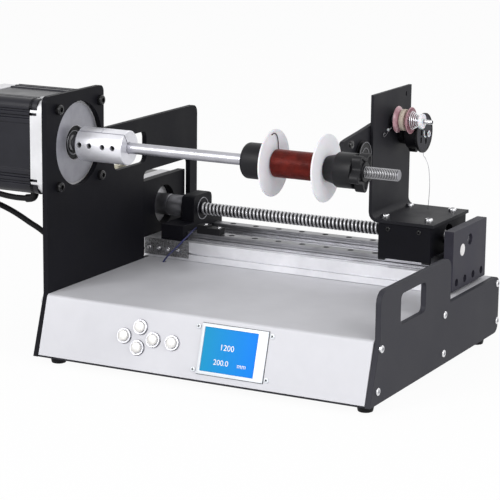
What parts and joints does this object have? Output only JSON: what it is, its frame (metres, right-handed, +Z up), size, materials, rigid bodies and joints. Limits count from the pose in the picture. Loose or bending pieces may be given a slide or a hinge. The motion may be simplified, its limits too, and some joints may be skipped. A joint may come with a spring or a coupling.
{
  "type": "automatic coil winding machine",
  "caption": "Bench machine that spins a bobbin on a motor-driven spindle while a ball-screw traverse lays wire along it.",
  "frame": {"origin": "on the floor under the centre of the machine's box, without its loose cables", "axes": "+X along the spindle from its motor to its open end, +Y to the back, +Z up"},
  "size_m": [0.4327, 0.29, 0.2374],
  "materials": {
    "black_anodised": "satin black anodised",
    "black_paint": "satin black paint",
    "silver_sheet": "fine silver grey powder coat",
    "aluminium": "satin",
    "steel": "ground and polished",
    "black_plastic": "moulded, slightly shiny",
    "black_rubber": "matt",
    "white_plastic": "moulded, smooth",
    "enamelled_wire": "glossy red-brown enamel over copper",
    "blue_screen": "lit screen under a clear window",
    "green_board": "printed circuit board",
    "silver_case": "perforated silver sheet case",
    "pink_ceramic": "polished",
    "cream_felt": "pressed felt",
    "blue_cable": "dark blue sheath"
  },
  "bodies": {
    "frame": {"left_side_plate": "black_anodised", "right_side_plate": "black_anodised", "base_cover": "silver_sheet", "bottom_plate": "black_paint", "foot_front_left": "black_rubber", "foot_back_left": "black_rubber", "foot_front_right": "black_rubber", "foot_back_right": "black_rubber", "button_block": "aluminium", "display_frame": "aluminium", "display_screen": "blue_screen", "motor_front_bell": "aluminium", "motor_body": "black_paint", "motor_rear_bell": "aluminium", "module_extrusion": "aluminium", "front_rail": "steel", "back_rail": "steel", "traverse_motor_plate": "black_anodised", "traverse_motor": "black_paint", "bearing_block": "black_anodised", "end_block": "black_anodised", "limit_sensor": "black_plastic", "power_supply": "silver_case", "control_board": "green_board", "power_inlet": "black_plastic", "motor_cable": "black_rubber", "cable_gland": "black_plastic", "sensor_cable": "blue_cable"},
    "spindle": {"motor_shaft": "steel", "shaft_coupling": "aluminium", "spindle_rod": "steel", "drive_cup": "black_plastic", "bobbin": "white_plastic", "wound_wire": "enamelled_wire"},
    "cone": {"clamping_cone": "black_plastic"},
    "knob": {"star_knob": "black_plastic"},
    "traverse_drive": {"ball_screw": "steel", "traverse_coupling": "aluminium"},
    "wire_carriage": {"carriage": "black_anodised", "ball_nut": "steel", "front_guide_block": "steel", "back_guide_block": "steel", "wire_bracket": "black_anodised", "guide_arm": "black_anodised", "tension_stud": "steel", "tension_disc_back": "pink_ceramic", "tension_washer": "cream_felt", "tension_disc_front": "pink_ceramic", "tension_spring": "steel", "dial_body": "black_plastic", "wire_tail": "steel"},
    "pulley": {"guide_pulley": "aluminium"},
    "dial": {"tension_dial": "black_plastic"},
    "spring_nut": {"tension_nut": "white_plastic"},
    "up_key": {"button_up": "aluminium"},
    "left_key": {"button_left": "aluminium"},
    "right_key": {"button_right": "aluminium"},
    "down_key": {"button_down": "aluminium"},
    "enter_key": {"button_enter": "aluminium"},
    "rocker": {"power_rocker": "black_plastic"}
  },
  "joints": [
    {"name": "spindle_spin", "type": "hinge", "parent": "frame", "child": "spindle", "pos_m": [-0.11085, -0.07335, 0.1892], "axis": [1, 0, 0], "continuous": true},
    {"name": "cone_slide", "type": "slide", "parent": "spindle", "child": "cone", "axis": [1, 0, 0], "range_m": [0, 0.024]},
    {"name": "knob_turn", "type": "hinge", "parent": "cone", "child": "knob", "pos_m": [0.16515, -0.07335, 0.1892], "axis": [1, 0, 0], "range_deg": [0, 5760]},
    {"name": "traverse_screw", "type": "hinge", "parent": "frame", "child": "traverse_drive", "pos_m": [-0.11085, 0.08965, 0.1047], "axis": [1, 0, 0], "range_deg": [-900, 14760]},
    {"name": "carriage_slide", "type": "slide", "parent": "frame", "child": "wire_carriage", "axis": [1, 0, 0], "range_m": [-0.164, 0.01]},
    {"name": "pulley_spin", "type": "hinge", "parent": "wire_carriage", "child": "pulley", "pos_m": [0.12415, 0.02865, 0.1832], "axis": [1, 0, 0], "continuous": true},
    {"name": "dial_turn", "type": "hinge", "parent": "wire_carriage", "child": "dial", "pos_m": [0.14515, 0.11365, 0.1942], "axis": [1, 0, 0], "range_deg": [-150, 150]},
    {"name": "nut_turn", "type": "hinge", "parent": "wire_carriage", "child": "spring_nut", "pos_m": [0.15215, 0.08965, 0.2087], "axis": [1, 0, 0], "range_deg": [-90, 90]},
    {"name": "up_press", "type": "slide", "parent": "frame", "child": "up_key", "axis": [0, 0.958, -0.2869], "range_m": [0, 0.0012], "stiffness_N_per_m": 300},
    {"name": "left_press", "type": "slide", "parent": "frame", "child": "left_key", "axis": [0, 0.958, -0.2869], "range_m": [0, 0.0012], "stiffness_N_per_m": 300},
    {"name": "right_press", "type": "slide", "parent": "frame", "child": "right_key", "axis": [0, 0.958, -0.2869], "range_m": [0, 0.0012], "stiffness_N_per_m": 300},
    {"name": "down_press", "type": "slide", "parent": "frame", "child": "down_key", "axis": [0, 0.958, -0.2869], "range_m": [0, 0.0012], "stiffness_N_per_m": 300},
    {"name": "enter_press", "type": "slide", "parent": "frame", "child": "enter_key", "axis": [0, 0.958, -0.2869], "range_m": [0, 0.0012], "stiffness_N_per_m": 300},
    {"name": "rocker_tip", "type": "hinge", "parent": "frame", "child": "rocker", "pos_m": [0.1234, 0.14125, 0.0333], "axis": [1, 0, 0], "range_deg": [0, 20]}
  ],
  "couplings": [
    {"joint": "knob_turn", "follows": "cone_slide", "rad_per_m": 4188.8},
    {"joint": "traverse_screw", "follows": "carriage_slide", "rad_per_m": -1570.8}
  ]
}
